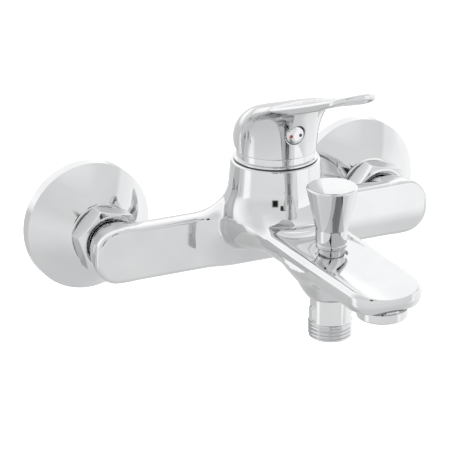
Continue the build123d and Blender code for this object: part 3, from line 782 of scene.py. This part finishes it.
def world():
    """Bright surround whose level changes with height and, in a few patches, with the bearing."""
    sky = bpy.data.worlds.new("studio")
    bpy.context.scene.world = sky
    sky.use_nodes = True
    tree = sky.node_tree
    nodes, links = tree.nodes, tree.links
    edge = 12                      # how sharply a patch ends above and below

    def math_node(operation, *values, clamp=False):
        node = nodes.new("ShaderNodeMath")
        node.operation = operation
        node.use_clamp = clamp
        for socket, value in zip(node.inputs, values):
            if isinstance(value, (int, float)):
                socket.default_value = value
            else:
                links.new(value, socket)
        return node.outputs[0]

    def scaled(colour, share):
        mix = nodes.new("ShaderNodeMixRGB")
        mix.blend_type = "MULTIPLY"
        mix.inputs[0].default_value = 1.0
        links.new(colour, mix.inputs[1])
        links.new(share, mix.inputs[2])
        return mix.outputs[0]

    place = nodes.new("ShaderNodeTexCoord")
    split = nodes.new("ShaderNodeSeparateXYZ")
    links.new(place.outputs["Generated"], split.inputs[0])
    x, y, z = split.outputs
    height = nodes.new("ShaderNodeValToRGB")
    ramp = height.color_ramp
    ramp.elements[0].position, ramp.elements[0].color = 0.0, (0.56, 0.56, 0.57, 1)
    ramp.elements[1].position, ramp.elements[1].color = 1.0, (0.85, 0.85, 0.85, 1)
    for position, level in SKY_LEVELS:
        ramp.elements.new(position).color = (level, level, level, 1)
    links.new(math_node("MULTIPLY_ADD", z, 0.5, 0.5), height.inputs[0])
    bearing = math_node("ARCTAN2", x, math_node("MULTIPLY", y, -1))
    degrees = math_node("MULTIPLY", bearing, 180 / math.pi)
    # brighter behind the object, above the horizon
    rear = math_node("MULTIPLY", math_node("SUBTRACT", y, 0.1), 2.0, clamp=True)
    above = math_node("MULTIPLY", math_node("ADD", z, 0.05), 5.0, clamp=True)
    both = math_node("MULTIPLY", rear, above)
    lift = math_node("ADD", math_node("MULTIPLY", both, 0.42), 1.0)
    colour = scaled(height.outputs["Color"], lift)
    for centre, half, soft, low, high, target in PATCHES:
        away = math_node("ABSOLUTE", math_node("SUBTRACT", degrees, centre))
        side = math_node("MULTIPLY", math_node("SUBTRACT", away, half), -1 / soft, clamp=True)
        over = math_node("SUBTRACT", z, math.sin(math.radians(low)))
        over = math_node("MULTIPLY", over, edge, clamp=True)
        under = math_node("SUBTRACT", math.sin(math.radians(high)), z)
        under = math_node("MULTIPLY", under, edge, clamp=True)
        share = math_node("MULTIPLY", math_node("MULTIPLY", side, over), under)
        kept = math_node("SUBTRACT", 1.0, math_node("MULTIPLY", share, 1 - target))
        colour = scaled(colour, kept)
    background = nodes["Background"]
    background.inputs["Strength"].default_value = 1.48
    links.new(colour, background.inputs["Color"])


def card(name, left, right, low, high, depth, foot_level, level):
    """Upright studio card seen only in reflections, brightening from its foot to its top."""
    mesh = bpy.data.meshes.new(name)
    corners = [(left, -depth, low), (right, -depth, low), (right, -depth, high), (left, -depth, high)]
    mesh.from_pydata([[value * MM for value in corner] for corner in corners], [], [(3, 2, 1, 0)])
    piece = bpy.data.objects.new(name, mesh)
    bpy.context.scene.collection.objects.link(piece)
    material, tree, shader = new_material(name)
    shader.inputs["Roughness"].default_value = 1.0
    shader.inputs["Base Color"].default_value = (0.0, 0.0, 0.0, 1)
    place = tree.nodes.new("ShaderNodeTexCoord")
    split = tree.nodes.new("ShaderNodeSeparateXYZ")
    tree.links.new(place.outputs["Generated"], split.inputs[0])
    glow = tint(tree, split.outputs["Z"], [foot_level] * 3, [level] * 3)
    tree.links.new(glow, shader.inputs["Emission Color"])
    shader.inputs["Emission Strength"].default_value = 1.0
    mesh.materials.append(material)
    piece.visible_camera = False
    piece.visible_shadow = False
    piece.visible_diffuse = False


def camera():
    """Long lens about 1.45 m away, in front of the object, to its left and above it."""
    azimuth, elevation = math.radians(-26.326), math.radians(20.852)
    distance = 1454.95
    focal_length, image_width = 3048.5, 460        # both in 460ths of the image width
    target = Vector((-33.7, -80.0, 15.84))
    data = bpy.data.cameras.new("camera")
    data.sensor_width = 36.0
    data.lens = 36.0 * focal_length / image_width
    back = Vector((math.sin(azimuth) * math.cos(elevation), -math.cos(azimuth) * math.cos(elevation),
                   math.sin(elevation)))
    eye = bpy.data.objects.new("camera", data)
    eye.location = (target + back * distance) * MM
    eye.rotation_mode = "QUATERNION"
    eye.rotation_quaternion = (-back).to_track_quat("-Z", "Y")
    bpy.context.scene.collection.objects.link(eye)
    bpy.context.scene.camera = eye


camera()
studio()
dress_cad_nodes()
casting()
lever()
cover()
index_button()
knob()
outlet()
aerator_cap()
for side, x in (("left", -INLET_X), ("right", INLET_X)):
    wall_side(side, x)
